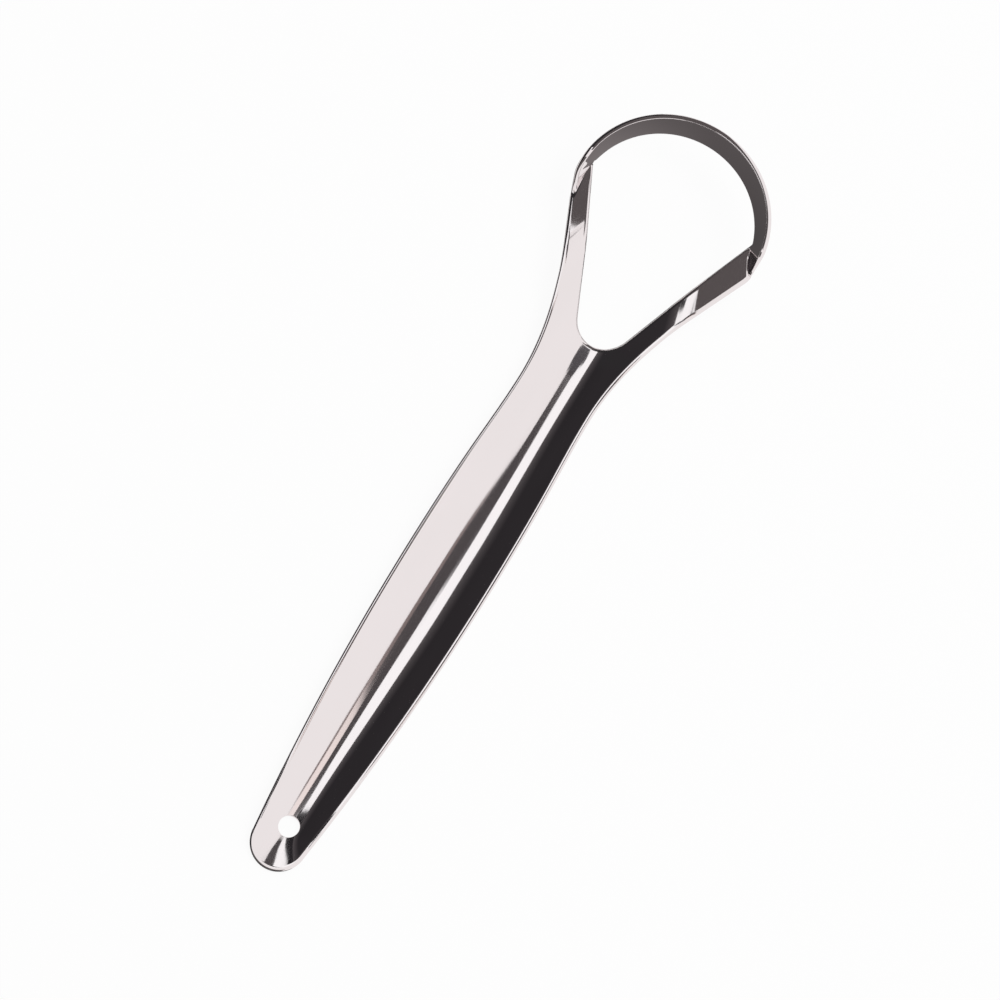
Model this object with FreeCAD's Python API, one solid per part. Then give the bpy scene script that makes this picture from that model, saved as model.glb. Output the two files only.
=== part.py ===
import FreeCAD
import Part
import math
import os

Vec = FreeCAD.Vector

# Overall size in millimetres: Y runs along the tool from the tail end to the scraping band,
# X across it, Z up out of the trough
overall_length = 148.0
head_width = 35.4
sheet = 0.9
edge_radius = 0.36

# Trough section: two flat sides rising from a rounded valley
side_rise = 26.0
valley_at_tail = 16.5
valley_at_eye = 5.6
valley_at_grip = 10.0
valley_at_neck = 8.0
grip_start = 56.0
grip_end = 65.0
neck_station = 95.0

# Crease where the arms level out: it runs along the tool, then turns inwards over the arms
crease_half_width = 13.15
crease_radius = 10.0
crease_turn = 15.0
turn_station = 105.5
turn_length = 8.0

# Plan outline, stations measured from the tail end: (station, half width, slope)
tail_radius = 4.9
tail_slope = 0.12
widest = (60.0, 8.1, 0.0)
shoulder = (77.0, 7.82, -0.035)
neck = (94.5, 7.13, 0.0)
arm_root = (116.75, 12.16)
arm_angle = 23.5
arm_width = 4.0
throat_station = 106.4

# Hanging hole
hole_station = 8.04
hole_radius = 1.8

# Scraping band: a conical wall that stands on the level ends of the arms
band_height = 5.0
band_lean = 1.05
band_start = 24.0
inner_corner_radius = 2.5
outer_corner_radius = 4.0
fold_start = (7.6, 3.9)
fold_end = (17.0, 12.0)

# Where one node ends and the next begins
eye_end = 13.0
handle_end = 103.0
fork_end = 115.0
arm_end = 125.5

half = sheet / 2
rise = math.radians(side_rise)
lean = math.radians(arm_angle)
along = Vec(math.sin(lean), math.cos(lean), 0)
across = Vec(math.cos(lean), -math.sin(lean), 0)
drift = math.tan(math.radians(crease_turn))
valley_drop = 1 / math.cos(rise) - 1
brim = crease_half_width * math.tan(rise) - valley_at_neck * valley_drop
rim_radius = head_width / 2 - half
foot_radius = rim_radius - band_lean
band_centre = Vec(0, overall_length - head_width / 2, 0)


def smooth(value):
    """Eased step from 0 to 1."""
    value = min(max(value, 0.0), 1.0)
    return value * value * (3 - 2 * value)


def crease_shift(station):
    """How far the sides and the crease have moved in towards the middle at a station."""
    run = station - turn_station
    share = min(max(run / turn_length, 0.0), 1.0)
    eased = turn_length * (share ** 3 - share ** 4 / 2)
    return drift * (eased + max(run - turn_length, 0.0))


def valley_radius(station):
    """Radius of the valley's middle surface: widest at the grip, tightest at the hanging hole."""
    if station < hole_station:
        return valley_at_eye + (valley_at_tail - valley_at_eye) * smooth(1 - station / hole_station)
    if station < grip_start:
        share = (station - hole_station) / (grip_start - hole_station)
        return valley_at_eye + (valley_at_grip - valley_at_eye) * smooth(share)
    share = (station - grip_end) / (neck_station - grip_end)
    radius = valley_at_grip + (valley_at_neck - valley_at_grip) * smooth(share)
    return radius - crease_shift(station) * math.tan(rise) / valley_drop


def skin(station, radius, reach, with_brim, offset):
    """One face of the sheet as edges from left to right, offset from the middle surface."""

    def at(x, z, tilt):
        return Vec(x - offset * math.sin(tilt), station, z + offset * math.cos(tilt))

    def mirror(point):
        return Vec(-point.x, point.y, point.z)

    foot = at(radius * math.sin(rise), radius * (1 - math.cos(rise)), rise)
    bottom = Vec(0, station, offset)
    valley = [Part.Arc(mirror(foot), bottom, foot).toShape()]
    if not with_brim:
        top_z = radius * (1 - math.cos(rise)) + (reach - radius * math.sin(rise)) * math.tan(rise)
        top = at(reach, top_z, rise)
        right = [(foot, top)]
        bend = []
    else:
        run = crease_radius * math.tan(rise / 2)
        crease_x = crease_half_width - crease_shift(station)
        level_x = crease_x + run
        begin = at(crease_x - run * math.cos(rise), brim - run * math.sin(rise), rise)
        middle = at(level_x - crease_radius * math.sin(rise / 2),
                    brim - crease_radius * (1 - math.cos(rise / 2)), rise / 2)
        level = at(level_x, brim, 0)
        right = [(foot, begin), (level, at(reach, brim, 0))]
        bend = [(begin, middle, level)]
    edges = list(valley)
    for start, end in right:
        edges.append(Part.LineSegment(start, end).toShape())
        edges.append(Part.LineSegment(mirror(end), mirror(start)).toShape())
    for start, middle, end in bend:
        edges.append(Part.Arc(start, middle, end).toShape())
        edges.append(Part.Arc(mirror(end), mirror(middle), mirror(start)).toShape())
    edges.sort(key=lambda edge: edge.CenterOfMass.x)
    ends = [vertex.Point for edge in edges for vertex in edge.Vertexes]
    ends.sort(key=lambda point: point.x)
    return edges, ends[0], ends[-1]


def sheet_section(station, radius, reach, with_brim):
    """Closed outline of the sheet's thickness at one station."""
    upper, upper_left, upper_right = skin(station, radius, reach, with_brim, half)
    lower, lower_left, lower_right = skin(station, radius, reach, with_brim, -half)
    sides = [Part.LineSegment(upper_right, lower_right).toShape(),
             Part.LineSegment(lower_left, upper_left).toShape()]
    return Part.Wire(Part.__sortEdges__(upper + sides + lower))


def arm_skin(station, reach, offset):
    """One face of the right arm's sheet from its rising side to its level end."""
    run = crease_radius * math.tan(rise / 2)
    crease_x = crease_half_width - drift * (station - turn_station - turn_length / 2)
    level_x = crease_x + run
    path = [(crease_x - 9.0, brim - 9.0 * math.tan(rise), rise),
            (crease_x - run * math.cos(rise), brim - run * math.sin(rise), rise),
            (level_x - crease_radius * math.sin(rise / 2),
             brim - crease_radius * (1 - math.cos(rise / 2)), rise / 2),
            (level_x, brim, 0.0),
            (reach, brim, 0.0)]
    return [Vec(x - offset * math.sin(tilt), station, z + offset * math.cos(tilt)) for x, z, tilt in path]


def arm_section(station, reach):
    """Closed outline of the right arm's sheet at one station."""
    top = arm_skin(station, reach, half)
    under = arm_skin(station, reach, -half)
    edges = [Part.LineSegment(top[0], top[1]).toShape(),
             Part.Arc(top[1], top[2], top[3]).toShape(),
             Part.LineSegment(top[3], top[4]).toShape(),
             Part.LineSegment(top[4], under[4]).toShape(),
             Part.LineSegment(under[4], under[3]).toShape(),
             Part.Arc(under[3], under[2], under[1]).toShape(),
             Part.LineSegment(under[1], under[0]).toShape(),
             Part.LineSegment(under[0], top[0]).toShape()]
    return Part.Wire(edges)


def hermite(first, second):
    """Smooth edge between two outline stations with the slopes given there."""
    third = (second[0] - first[0]) / 3
    poles = [Vec(first[1], first[0], 0),
             Vec(first[1] + first[2] * third, first[0] + third, 0),
             Vec(second[1] - second[2] * third, second[0] - third, 0),
             Vec(second[1], second[0], 0)]
    curve = Part.BezierCurve()
    curve.setPoles(poles)
    return curve.toShape()


def mirrored(shape):
    """Copy of a shape on the other side of the tool."""
    return shape.mirror(Vec(0, 0, 0), Vec(1, 0, 0))


# Plan outline of the flat blank without the band
turn = math.atan(tail_slope)
tail_side = (tail_radius * (1 - math.sin(turn)), tail_radius * math.cos(turn), tail_slope)
arm_slope = math.tan(lean)
outer_root = Vec(arm_root[1], arm_root[0], 0)
inner_root = outer_root - across * arm_width
throat_radius = throat_station * math.sin(lean) + inner_root.dot(across)
throat_radius /= 1 - math.sin(lean)
throat_centre = Vec(0, throat_station + throat_radius, 0)
throat_side = throat_centre + across * throat_radius
inner_tip = inner_root + along * ((arm_end - inner_root.y) / along.y)
outer_tip = inner_tip + across * arm_width

side = [hermite(tail_side, widest), hermite(widest, shoulder), hermite(shoulder, neck),
        hermite(neck, (arm_root[0], arm_root[1], arm_slope)),
        Part.LineSegment(outer_root, outer_tip).toShape(),
        Part.LineSegment(outer_tip, inner_tip).toShape(),
        Part.LineSegment(inner_tip, throat_side).toShape()]
tail_point = Vec(tail_side[1], tail_side[0], 0)
tail_arc = Part.Arc(Vec(-tail_point.x, tail_point.y, 0), Vec(0, 0, 0), tail_point).toShape()
throat_far = Vec(-throat_side.x, throat_side.y, 0)
throat_arc = Part.Arc(throat_side, Vec(0, throat_station, 0), throat_far).toShape()
blank = side + [mirrored(edge) for edge in side] + [tail_arc, throat_arc]
blank_face = Part.Face(Part.Wire(Part.__sortEdges__(blank)))
blank_face.translate(Vec(0, 0, -3))
die = blank_face.extrude(Vec(0, 0, 20))

# Pressed sheet: the trough of the handle, the trough with level brims for the fork, then the arms
trough_stations = [-2.0, 0.0, 2.0, 4.0, 6.0, hole_station, 12.0, 18.0, 26.0, 35.0, 45.0,
                   grip_start, grip_end, 72.0, 80.0, 88.0, neck_station, handle_end]
fork_stations = [handle_end, turn_station, 107.5, 109.5, 111.5, turn_station + turn_length, 115.5]
trough_sections = [sheet_section(y, valley_radius(y), 9.6, False) for y in trough_stations]
gutter_sections = [sheet_section(y, valley_radius(y), 22.0, True) for y in fork_stations]
trough = Part.makeLoft(trough_sections, True, False)
gutter = Part.makeLoft(gutter_sections, True, False)
arm_strip = Part.Face(arm_section(110.0, 24.0)).extrude(Vec(-20 * drift, 20, 0))


def rounded(solid, cut_planes):
    """Rounds the cut edges of the sheet, leaving the faces where two nodes meet."""

    def is_wall(face):
        first, last, low, high = face.ParameterRange
        normal = face.normalAt((first + last) / 2, (low + high) / 2)
        if abs(normal.z) > 0.02:
            return False
        centre = face.CenterOfMass
        return not any(abs((centre - point).dot(axis)) < 0.01 and abs(abs(normal.dot(axis)) - 1) < 0.001
                       for point, axis in cut_planes)

    chosen = []
    for edge in solid.Edges:
        faces = solid.ancestorsOfType(edge, Part.Face)
        walls = [is_wall(face) for face in faces]
        flat = [abs(face.normalAt(*face.Surface.parameter(edge.CenterOfMass)).z) > 0.02 for face in faces]
        if any(walls) and any(flat):
            chosen.append(edge)
    return solid.makeFillet(edge_radius, chosen)


def half_space(point, axis):
    """Large block on the far side of a plane, on the tool's right-hand side only."""
    block = Part.makeBox(60, 60, 60, Vec(-30, 0, -30))
    block.Placement = FreeCAD.Placement(point, FreeCAD.Rotation(Vec(0, 1, 0), axis))
    return block.common(Part.makeBox(60, 200, 60, Vec(0, 0, -30)))


fork_point = inner_root + along * ((fork_end - inner_root.y) / along.y)
arm_block = half_space(fork_point, along)
cross_cut = (Vec(0, handle_end, 0), Vec(0, 1, 0))
tip_cut = (inner_tip, along)
fork_cut = (fork_point, along)
fork_cut_left = (Vec(-fork_point.x, fork_point.y, 0), Vec(-along.x, along.y, 0))

grip = rounded(trough.common(die).Solids[0], [cross_cut])
fork = gutter.common(die).cut(arm_block).cut(mirrored(arm_block)).Solids[0]
fork = rounded(fork, [cross_cut, fork_cut, fork_cut_left])
right_arm = rounded(arm_strip.common(die).common(arm_block).Solids[0], [tip_cut, fork_cut])
left_arm = mirrored(right_arm)

hole = Part.makeCylinder(hole_radius, 20, Vec(0, hole_station, -5))
tail_block = Part.makeBox(40, eye_end + 10, 40, Vec(-20, -10, -20))
hanging_eye = grip.common(tail_block).cut(hole)
handle = grip.cut(tail_block)


class EdgePath:
    """Edge of the band in plan: straight off the arm, round the folded corner, then round the arc."""

    def __init__(self, start, radius, corner):
        reach = start - corner * across - band_centre
        dot = reach.dot(along)
        self.start = start
        self.radius = radius
        self.corner = corner
        self.straight = -dot + math.sqrt(dot * dot - reach.dot(reach) + (radius - corner) ** 2)
        self.pivot = start - corner * across + self.straight * along
        leaves = self.pivot - band_centre
        self.arc_angle = math.atan2(leaves.y, leaves.x)
        self.bend = corner * (self.arc_angle + lean)

    def distance(self, angle):
        """Distance along the path at which the arc reaches an angle."""
        return self.straight + self.bend + self.radius * (angle - self.arc_angle)

    def point(self, distance):
        """Plan point at a distance along the path."""
        if distance <= self.straight:
            return self.start + along * distance
        if distance <= self.straight + self.bend:
            angle = (distance - self.straight) / self.corner - lean
            return self.pivot + self.corner * Vec(math.cos(angle), math.sin(angle), 0)
        angle = self.arc_angle + (distance - self.straight - self.bend) / self.radius
        return band_centre + self.radius * Vec(math.cos(angle), math.sin(angle), 0)


inner_edge = EdgePath(inner_tip + across * half, foot_radius, inner_corner_radius)
outer_edge = EdgePath(outer_tip - across * half, rim_radius, outer_corner_radius)
knots = [(0.0, 0.0), fold_start,
         (inner_edge.distance(math.radians(fold_end[0])), outer_edge.distance(math.radians(fold_end[1]))),
         (inner_edge.distance(math.radians(band_start)), outer_edge.distance(math.radians(band_start)))]


def ruling(share):
    """Straight line across the band at a share (0 to 3) of the way round its folded corner."""
    index = min(int(share), 2)
    part = share - index
    first, second = knots[index], knots[index + 1]
    inner = inner_edge.point(first[0] + part * (second[0] - first[0])) + Vec(0, 0, brim)
    travel = first[1] + part * (second[1] - first[1])
    lift = smooth((travel - knots[1][1]) / (knots[2][1] - knots[1][1]))
    outer = outer_edge.point(travel) + Vec(0, 0, brim + lift * band_height)
    return inner, outer


def band_section(inner, outer, normal):
    """Sheet section with full round edges between the band's two edges."""
    out = (outer - inner).normalize()
    up = (normal - out * normal.dot(out)).normalize() * half
    out = out * half
    edges = [Part.LineSegment(inner + up, outer + up).toShape(),
             Part.Arc(outer + up, outer + out, outer - up).toShape(),
             Part.LineSegment(outer - up, inner - up).toShape(),
             Part.Arc(inner - up, inner - out, inner + up).toShape()]
    return Part.Wire(edges)


def corner_section(share):
    """Section of the folded corner, square to the sheet."""
    inner, outer = ruling(share)
    if share >= 3.0:
        travel = Vec(0, 0, 1).cross(inner - band_centre)
    else:
        before = ruling(max(share - 0.02, 0.0))
        after = ruling(share + 0.02)
        travel = after[0] + after[1] - before[0] - before[1]
    return band_section(inner, outer, (outer - inner).cross(travel))


steps = 24
corner = Part.makeLoft([corner_section(3.0 * step / steps) for step in range(steps + 1)], True, True)
arc = Part.Face(corner_section(3.0)).revolve(band_centre, Vec(0, 0, 1), 180 - 2 * band_start)
scraping_band = corner.fuse(arc).fuse(mirrored(corner)).removeSplitter()

nodes = {"hanging_eye": hanging_eye, "handle": handle, "fork": fork, "left_arm": left_arm,
         "right_arm": right_arm, "scraping_band": scraping_band}
os.makedirs("parts", exist_ok=True)
for name, shape in nodes.items():
    solid = shape.Solids[0]
    solid.translate(Vec(0, -overall_length / 2, half))
    solid.exportStep("parts/" + name + ".step")
    box = solid.BoundBox
    print(name, len(shape.Solids), solid.isValid(), round(solid.Volume, 1),
          [round(v, 2) for v in (box.XMin, box.XMax, box.YMin, box.YMax, box.ZMin, box.ZMax)])
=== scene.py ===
import logging
import math
from dataclasses import dataclass
from enum import Enum
from typing import Any

import bpy
import numpy as np
from mathutils import Matrix, Vector


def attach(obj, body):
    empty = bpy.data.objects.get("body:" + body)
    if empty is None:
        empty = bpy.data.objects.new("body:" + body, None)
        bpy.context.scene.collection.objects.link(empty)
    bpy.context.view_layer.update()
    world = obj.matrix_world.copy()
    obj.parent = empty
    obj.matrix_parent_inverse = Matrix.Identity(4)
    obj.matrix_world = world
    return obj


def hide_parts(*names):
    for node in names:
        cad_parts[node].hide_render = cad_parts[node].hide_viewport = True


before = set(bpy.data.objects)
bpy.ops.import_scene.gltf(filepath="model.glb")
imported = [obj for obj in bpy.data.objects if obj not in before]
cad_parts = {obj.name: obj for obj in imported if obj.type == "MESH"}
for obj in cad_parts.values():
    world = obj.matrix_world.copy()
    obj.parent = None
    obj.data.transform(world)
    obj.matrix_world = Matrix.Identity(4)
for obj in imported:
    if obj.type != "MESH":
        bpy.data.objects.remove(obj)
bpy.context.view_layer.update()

LOG = logging.getLogger("tongue_scraper")
MM = 0.001
BODY = "root"

Array = np.ndarray
Rgb = tuple[float, float, float]
Rgba = tuple[float, float, float, float]
Plan = tuple[tuple[float, float], ...]

WHITE_PAPER: Rgba = (1.0, 1.0, 1.0, 1.0)
OTHER_SIDE = np.array([-1.0, 1.0])


class Side(Enum):
    """Side of the tool, as the sign of X."""

    RIGHT = 1
    LEFT = -1


def eased(share: Array) -> Array:
    """Step from 0 to 1 that starts and ends level: 3 s squared minus 2 s cubed."""
    inside = np.clip(share, 0.0, 1.0)
    return inside * inside * (3 - 2 * inside)


def unit(vectors: Array) -> Array:
    """Vectors scaled to length one along the last axis."""
    return vectors / np.linalg.norm(vectors, axis=-1, keepdims=True)


def ray(angle: Array) -> Array:
    """Plan directions at angles from the X axis: cosine and sine."""
    return np.stack([np.cos(angle), np.sin(angle)], -1)


def cubic(t: Array, start: Array, end: Array, start_slope: Array, end_slope: Array) -> Array:
    """Cubic piece that has given values and slopes at both ends.

    Args:
        t: share of the way.
        start: value where t is 0.
        end: value where t is 1.
        start_slope: slope at the start, over the whole way.
        end_slope: slope at the end, over the whole way.

    Returns:
        Sum of the values and slopes, each times its cubic weight.
    """
    leaving = (2 * t ** 3 - 3 * t ** 2 + 1) * start + (t ** 3 - 2 * t ** 2 + t) * start_slope
    arriving = (3 * t ** 2 - 2 * t ** 3) * end + (t ** 3 - t ** 2) * end_slope
    return leaving + arriving


def add_object(name: str, data: bpy.types.ID) -> bpy.types.Object:
    """Puts a mesh, a lamp or a camera into the scene.

    Args:
        name: name of the object.
        data: what the object holds.

    Returns:
        The new object.
    """
    made = bpy.data.objects.new(name, data)
    bpy.context.scene.collection.objects.link(made)
    return made


@dataclass(frozen=True)
class OutlineKnot:
    """One station of the plan outline, in millimetres from the tail end."""

    station: float
    half_width: float
    slope: float


@dataclass(frozen=True)
class SheetSizes:
    """Driving sizes of the pressed sheet in millimetres and degrees."""

    overall_length: float = 148.0
    head_width: float = 35.4
    sheet: float = 0.9
    edge_reach: float = 0.8
    side_rise: float = 26.0
    valley_at_tail: float = 16.5
    valley_at_eye: float = 5.6
    valley_at_grip: float = 10.0
    valley_at_neck: float = 8.0
    grip_start: float = 56.0
    grip_end: float = 65.0
    neck_station: float = 95.0
    crease_half_width: float = 13.15
    crease_radius: float = 10.0
    crease_turn: float = 15.0
    turn_station: float = 105.5
    turn_length: float = 8.0
    tail_radius: float = 4.9
    tail_slope: float = 0.12
    widest: OutlineKnot = OutlineKnot(60.0, 8.1, 0.0)
    shoulder: OutlineKnot = OutlineKnot(77.0, 7.82, -0.035)
    neck: OutlineKnot = OutlineKnot(94.5, 7.13, 0.0)
    arm_root_station: float = 116.75
    arm_root_width: float = 12.16
    arm_angle: float = 23.5
    arm_width: float = 4.0
    throat_station: float = 106.4
    punch_turn: float = 2.9
    punch_station: float = 122.0
    hole_station: float = 8.04
    hole_radius: float = 1.8
    hole_edge_reach: float = 0.15
    eye_end: float = 13.0
    handle_end: float = 103.0
    fork_end: float = 115.0
    arm_end: float = 125.5


@dataclass
class Edge:
    """Run of the sheet's edge: plan points where its rounding begins, the way out, and the reach.

    The reach is the length of the rounding along the sheet, and zero where the sheet is cut flat.
    """

    points: Array
    outward: Array
    reach: Array

    def mirrored(self) -> "Edge":
        """The same run on the other side of the tool."""
        return Edge(self.points * OTHER_SIDE, self.outward * OTHER_SIDE, self.reach)

    def rows(self, kept: slice) -> "Edge":
        """Some rows of the run, in the order of the slice."""
        return Edge(self.points[kept], self.outward[kept], self.reach[kept])

    def then(self, *others: "Edge") -> "Edge":
        """The run with others put on its end.

        Args:
            others: the runs that follow, in order.

        Returns:
            All of them as one run.
        """
        runs = (self, *others)
        return Edge(np.concatenate([run.points for run in runs]),
                    np.concatenate([run.outward for run in runs]),
                    np.concatenate([run.reach for run in runs]))

    @staticmethod
    def cut(points: Array, outward: tuple[float, float]) -> "Edge":
        """Flat cut through the sheet along plan points."""
        return Edge(points, np.tile(outward, (len(points), 1)), np.zeros(len(points)))


class PressForm:
    """Shape that the press gives the sheet: its middle surface, its plan outline and its edges."""

    slope_step: float = 0.001
    arm_search: tuple[float, float] = (98.0, 136.0)
    arm_search_rows: int = 1521

    def __init__(self, sizes: SheetSizes) -> None:
        """Works out the sizes that follow from the driving ones.

        Args:
            sizes: driving sizes of the sheet.
        """
        self.sizes = sizes
        self.half = sizes.sheet / 2
        self.rise = math.radians(sizes.side_rise)
        self.lean = math.radians(sizes.arm_angle)
        self.along = np.array([math.sin(self.lean), math.cos(self.lean)])
        self.across = np.array([math.cos(self.lean), -math.sin(self.lean)])
        self.valley_drop = 1 / math.cos(self.rise) - 1
        self.brim = sizes.crease_half_width * math.tan(self.rise) - sizes.valley_at_neck * self.valley_drop
        outer_root = np.array([sizes.arm_root_width, sizes.arm_root_station])
        inner_root = outer_root - self.across * sizes.arm_width
        radius = sizes.throat_station * math.sin(self.lean) + inner_root @ self.across
        self.throat_radius = radius / (1 - math.sin(self.lean))
        self.throat_centre = np.array([0.0, sizes.throat_station + self.throat_radius])
        self.throat_side = self.throat_centre + self.across * self.throat_radius
        self.fork_distance = (sizes.fork_end - self.throat_side[1]) / self.along[1]
        self.tip_distance = (sizes.arm_end - self.throat_side[1]) / self.along[1]
        self.tail_turn = math.atan(sizes.tail_slope)
        tail_side = OutlineKnot(sizes.tail_radius * (1 - math.sin(self.tail_turn)),
                                sizes.tail_radius * math.cos(self.tail_turn), sizes.tail_slope)
        arm_root = OutlineKnot(sizes.arm_root_station, sizes.arm_root_width, math.tan(self.lean))
        self.knots = (tail_side, sizes.widest, sizes.shoulder, sizes.neck, arm_root)

    def crease_shift(self, station: Array) -> Array:
        """How far the flanks and the crease have moved inwards: none on the handle, then an eased turn.

        Args:
            station: distances from the tail end.

        Returns:
            Slant times the turned run, whose slope grows as 3 s squared minus 2 s cubed.
        """
        s = self.sizes
        run = station - s.turn_station
        share = np.clip(run / s.turn_length, 0.0, 1.0)
        turned = s.turn_length * (share ** 3 - share ** 4 / 2) + np.maximum(run - s.turn_length, 0.0)
        return math.tan(math.radians(s.crease_turn)) * turned

    def valley_radius(self, station: Array) -> Array:
        """Radius of the valley: tightest at the hanging hole, eased out to the grip and to the tail.

        Args:
            station: distances from the tail end.

        Returns:
            Radius of the middle surface at each of them.
        """
        s = self.sizes
        towards_grip = eased((station - s.hole_station) / (s.grip_start - s.hole_station))
        towards_neck = eased((station - s.grip_end) / (s.neck_station - s.grip_end))
        towards_tail = eased(1 - station / s.hole_station)
        radius = s.valley_at_eye + (s.valley_at_grip - s.valley_at_eye) * towards_grip
        radius = radius + (s.valley_at_neck - s.valley_at_grip) * towards_neck
        radius = radius + (s.valley_at_tail - s.valley_at_eye) * towards_tail
        return radius - self.crease_shift(station) * math.tan(self.rise) / self.valley_drop

    def height(self, x: Array, station: Array) -> Array:
        """Height of the middle surface: a round valley, a straight flank, a round crease, a level brim.

        Args:
            x: distances from the centre plane.
            station: distances from the tail end.

        Returns:
            Height above the valley's lowest line.
        """
        s = self.sizes
        away = np.abs(x)
        radius = self.valley_radius(station)
        foot = radius * math.sin(self.rise)
        valley = radius - np.sqrt(np.maximum(radius * radius - away * away, 0.0))
        flank = away * math.tan(self.rise) - radius * self.valley_drop
        trough = np.where(away < foot, valley, flank)
        crease_x = s.crease_half_width - self.crease_shift(station)
        level_x = crease_x + s.crease_radius * math.tan(self.rise / 2)
        begin = level_x - s.crease_radius * math.sin(self.rise)
        run = np.clip(level_x - away, 0.0, s.crease_radius)
        crease = self.brim - s.crease_radius + np.sqrt(s.crease_radius ** 2 - run * run)
        return np.where(away < begin, trough, crease)

    def slope(self, plan: Array) -> Array:
        """Slope of the middle surface by central differences.

        Args:
            plan: plan points.

        Returns:
            Slope along X and along the tool.
        """
        step = self.slope_step
        x, station = plan[..., 0], plan[..., 1]
        along_x = self.height(x + step, station) - self.height(x - step, station)
        along_y = self.height(x, station + step) - self.height(x, station - step)
        return np.stack([along_x, along_y], -1) / (2 * step)

    def normals(self, plan: Array) -> Array:
        """Upward unit normals of the middle surface at plan points."""
        slope = self.slope(plan)
        return unit(np.concatenate([-slope, np.ones_like(slope[..., :1])], -1))

    def on_sheet(self, plan: Array) -> Array:
        """Plan points lifted onto the middle surface."""
        return np.concatenate([plan, self.height(plan[..., 0], plan[..., 1])[..., None]], -1)

    def lifted(self, plan: Array, direction: Array) -> Array:
        """Plan directions turned into the sheet's tangent plane, at length one."""
        climb = np.sum(self.slope(plan) * direction, -1, keepdims=True)
        return unit(np.concatenate([direction, climb], -1))

    def side_width(self, station: Array) -> tuple[Array, Array]:
        """Half width of the outline and its slope, by cubic pieces between the knots.

        Args:
            station: distances from the tail end, past the round tail.

        Returns:
            Half width, and how fast it grows along the tool. Past the arm's root it is straight.
        """
        at, width, slope = np.array([(knot.station, knot.half_width, knot.slope) for knot in self.knots]).T
        index = np.clip(np.searchsorted(at, station, side="right") - 1, 0, len(at) - 2)
        span = at[index + 1] - at[index]
        t = (station - at[index]) / span
        w0, w1, m0, m1 = width[index], width[index + 1], slope[index] * span, slope[index + 1] * span
        value = cubic(t, w0, w1, m0, m1)
        growth = (6 * t ** 2 - 6 * t) * (w0 - w1) + (3 * t ** 2 - 4 * t + 1) * m0 + (3 * t ** 2 - 2 * t) * m1
        past = station > at[-1]
        value = np.where(past, width[-1] + slope[-1] * (station - at[-1]), value)
        return value, np.where(past, slope[-1], growth / span)

    def inset(self, outline: Array, outward: Array, reach: float) -> Array:
        """Plan distance from the outline in to where the edge's rounding begins.

        Args:
            outline: plan points on the outline.
            outward: plan unit directions out of the sheet there.
            reach: length of the rounding along the sheet.

        Returns:
            Half the plan extent of the elliptic edge, which leans with the sheet.
        """
        lean = np.sum(self.normals(outline)[..., :2] * outward, -1)
        return np.sqrt(reach ** 2 * (1 - lean ** 2) + self.half ** 2 * lean ** 2)

    def rounded(self, outline: Array, outward: Array, reach: float) -> Edge:
        """Edge whose rounding ends at an outline.

        Args:
            outline: plan points on the outline.
            outward: plan unit directions out of the sheet there.
            reach: length of the rounding along the sheet.

        Returns:
            The outline moved in by its inset.
        """
        inset = self.inset(outline, outward, reach)
        return Edge(outline - inset[:, None] * outward, outward, np.full(len(outline), reach))

    def side_edge(self, station: Array) -> Edge:
        """Right-hand edge of the sheet, moved in along X so that its stations stay as given.

        Args:
            station: distances from the tail end.

        Returns:
            The edge at these stations.
        """
        width, slope = self.side_width(station)
        stretch = np.sqrt(1 + slope * slope)
        outward = np.stack([1 / stretch, -slope / stretch], -1)
        reach = self.sizes.edge_reach
        inset = self.inset(np.stack([width, station], -1), outward, reach)
        return Edge(np.stack([width - inset * stretch, station], -1), outward, np.full(len(station), reach))

    def punched(self, vectors: Array, side: Side) -> Array:
        """Plan vectors turned as the opening's punch sat a little askew.

        Args:
            vectors: vectors of the straight opening.
            side: side of the tool; the left one is given mirrored to the right.

        Returns:
            The turned vectors.
        """
        turn = side.value * math.radians(self.sizes.punch_turn)
        spin = np.array([[math.cos(turn), math.sin(turn)], [-math.sin(turn), math.cos(turn)]])
        return vectors @ spin

    def punched_point(self, points: Array, side: Side) -> Array:
        """Plan points of the opening turned about the punch's middle."""
        pivot = np.array([0.0, self.sizes.punch_station])
        return pivot + self.punched(points - pivot, side)

    def throat_edge(self, distance: Array, side: Side) -> Edge:
        """One half of the opening's edge, by distance from where the throat's arc ends.

        Args:
            distance: negative on the arc, positive along the straight arm.
            side: side of the tool; the left one is given mirrored to the right.

        Returns:
            The edge, whose way out is into the opening.
        """
        away = ray(np.minimum(distance, 0.0) / self.throat_radius - self.lean)
        outline = self.throat_centre + self.throat_radius * away
        outline = outline + np.maximum(distance, 0.0)[:, None] * self.along
        return self.rounded(self.punched_point(outline, side), -self.punched(away, side),
                            self.sizes.edge_reach)

    def arm_outer_edge(self, distance: Array) -> Edge:
        """Outer edge of the right arm where planes square to the arm cut it.

        Args:
            distance: distances of the planes along the arm from the end of the throat's arc.

        Returns:
            The edge at these planes, read off the side edge by linear steps.
        """
        side = self.side_edge(np.linspace(*self.arm_search, self.arm_search_rows))
        away = side.points - self.throat_side
        travel, width = away @ self.along, away @ self.across
        points = self.throat_side + distance[:, None] * self.along
        points = points + np.interp(distance, travel, width)[:, None] * self.across
        turned = np.stack([np.interp(distance, travel, side.outward[:, k]) for k in range(2)], -1)
        return Edge(points, unit(turned), np.full(len(distance), self.sizes.edge_reach))


@dataclass
class Border:
    """Border of a sheet patch: its directions out of the sheet in space, and the reach of its rounding."""

    outward: Array
    reach: Array


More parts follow.
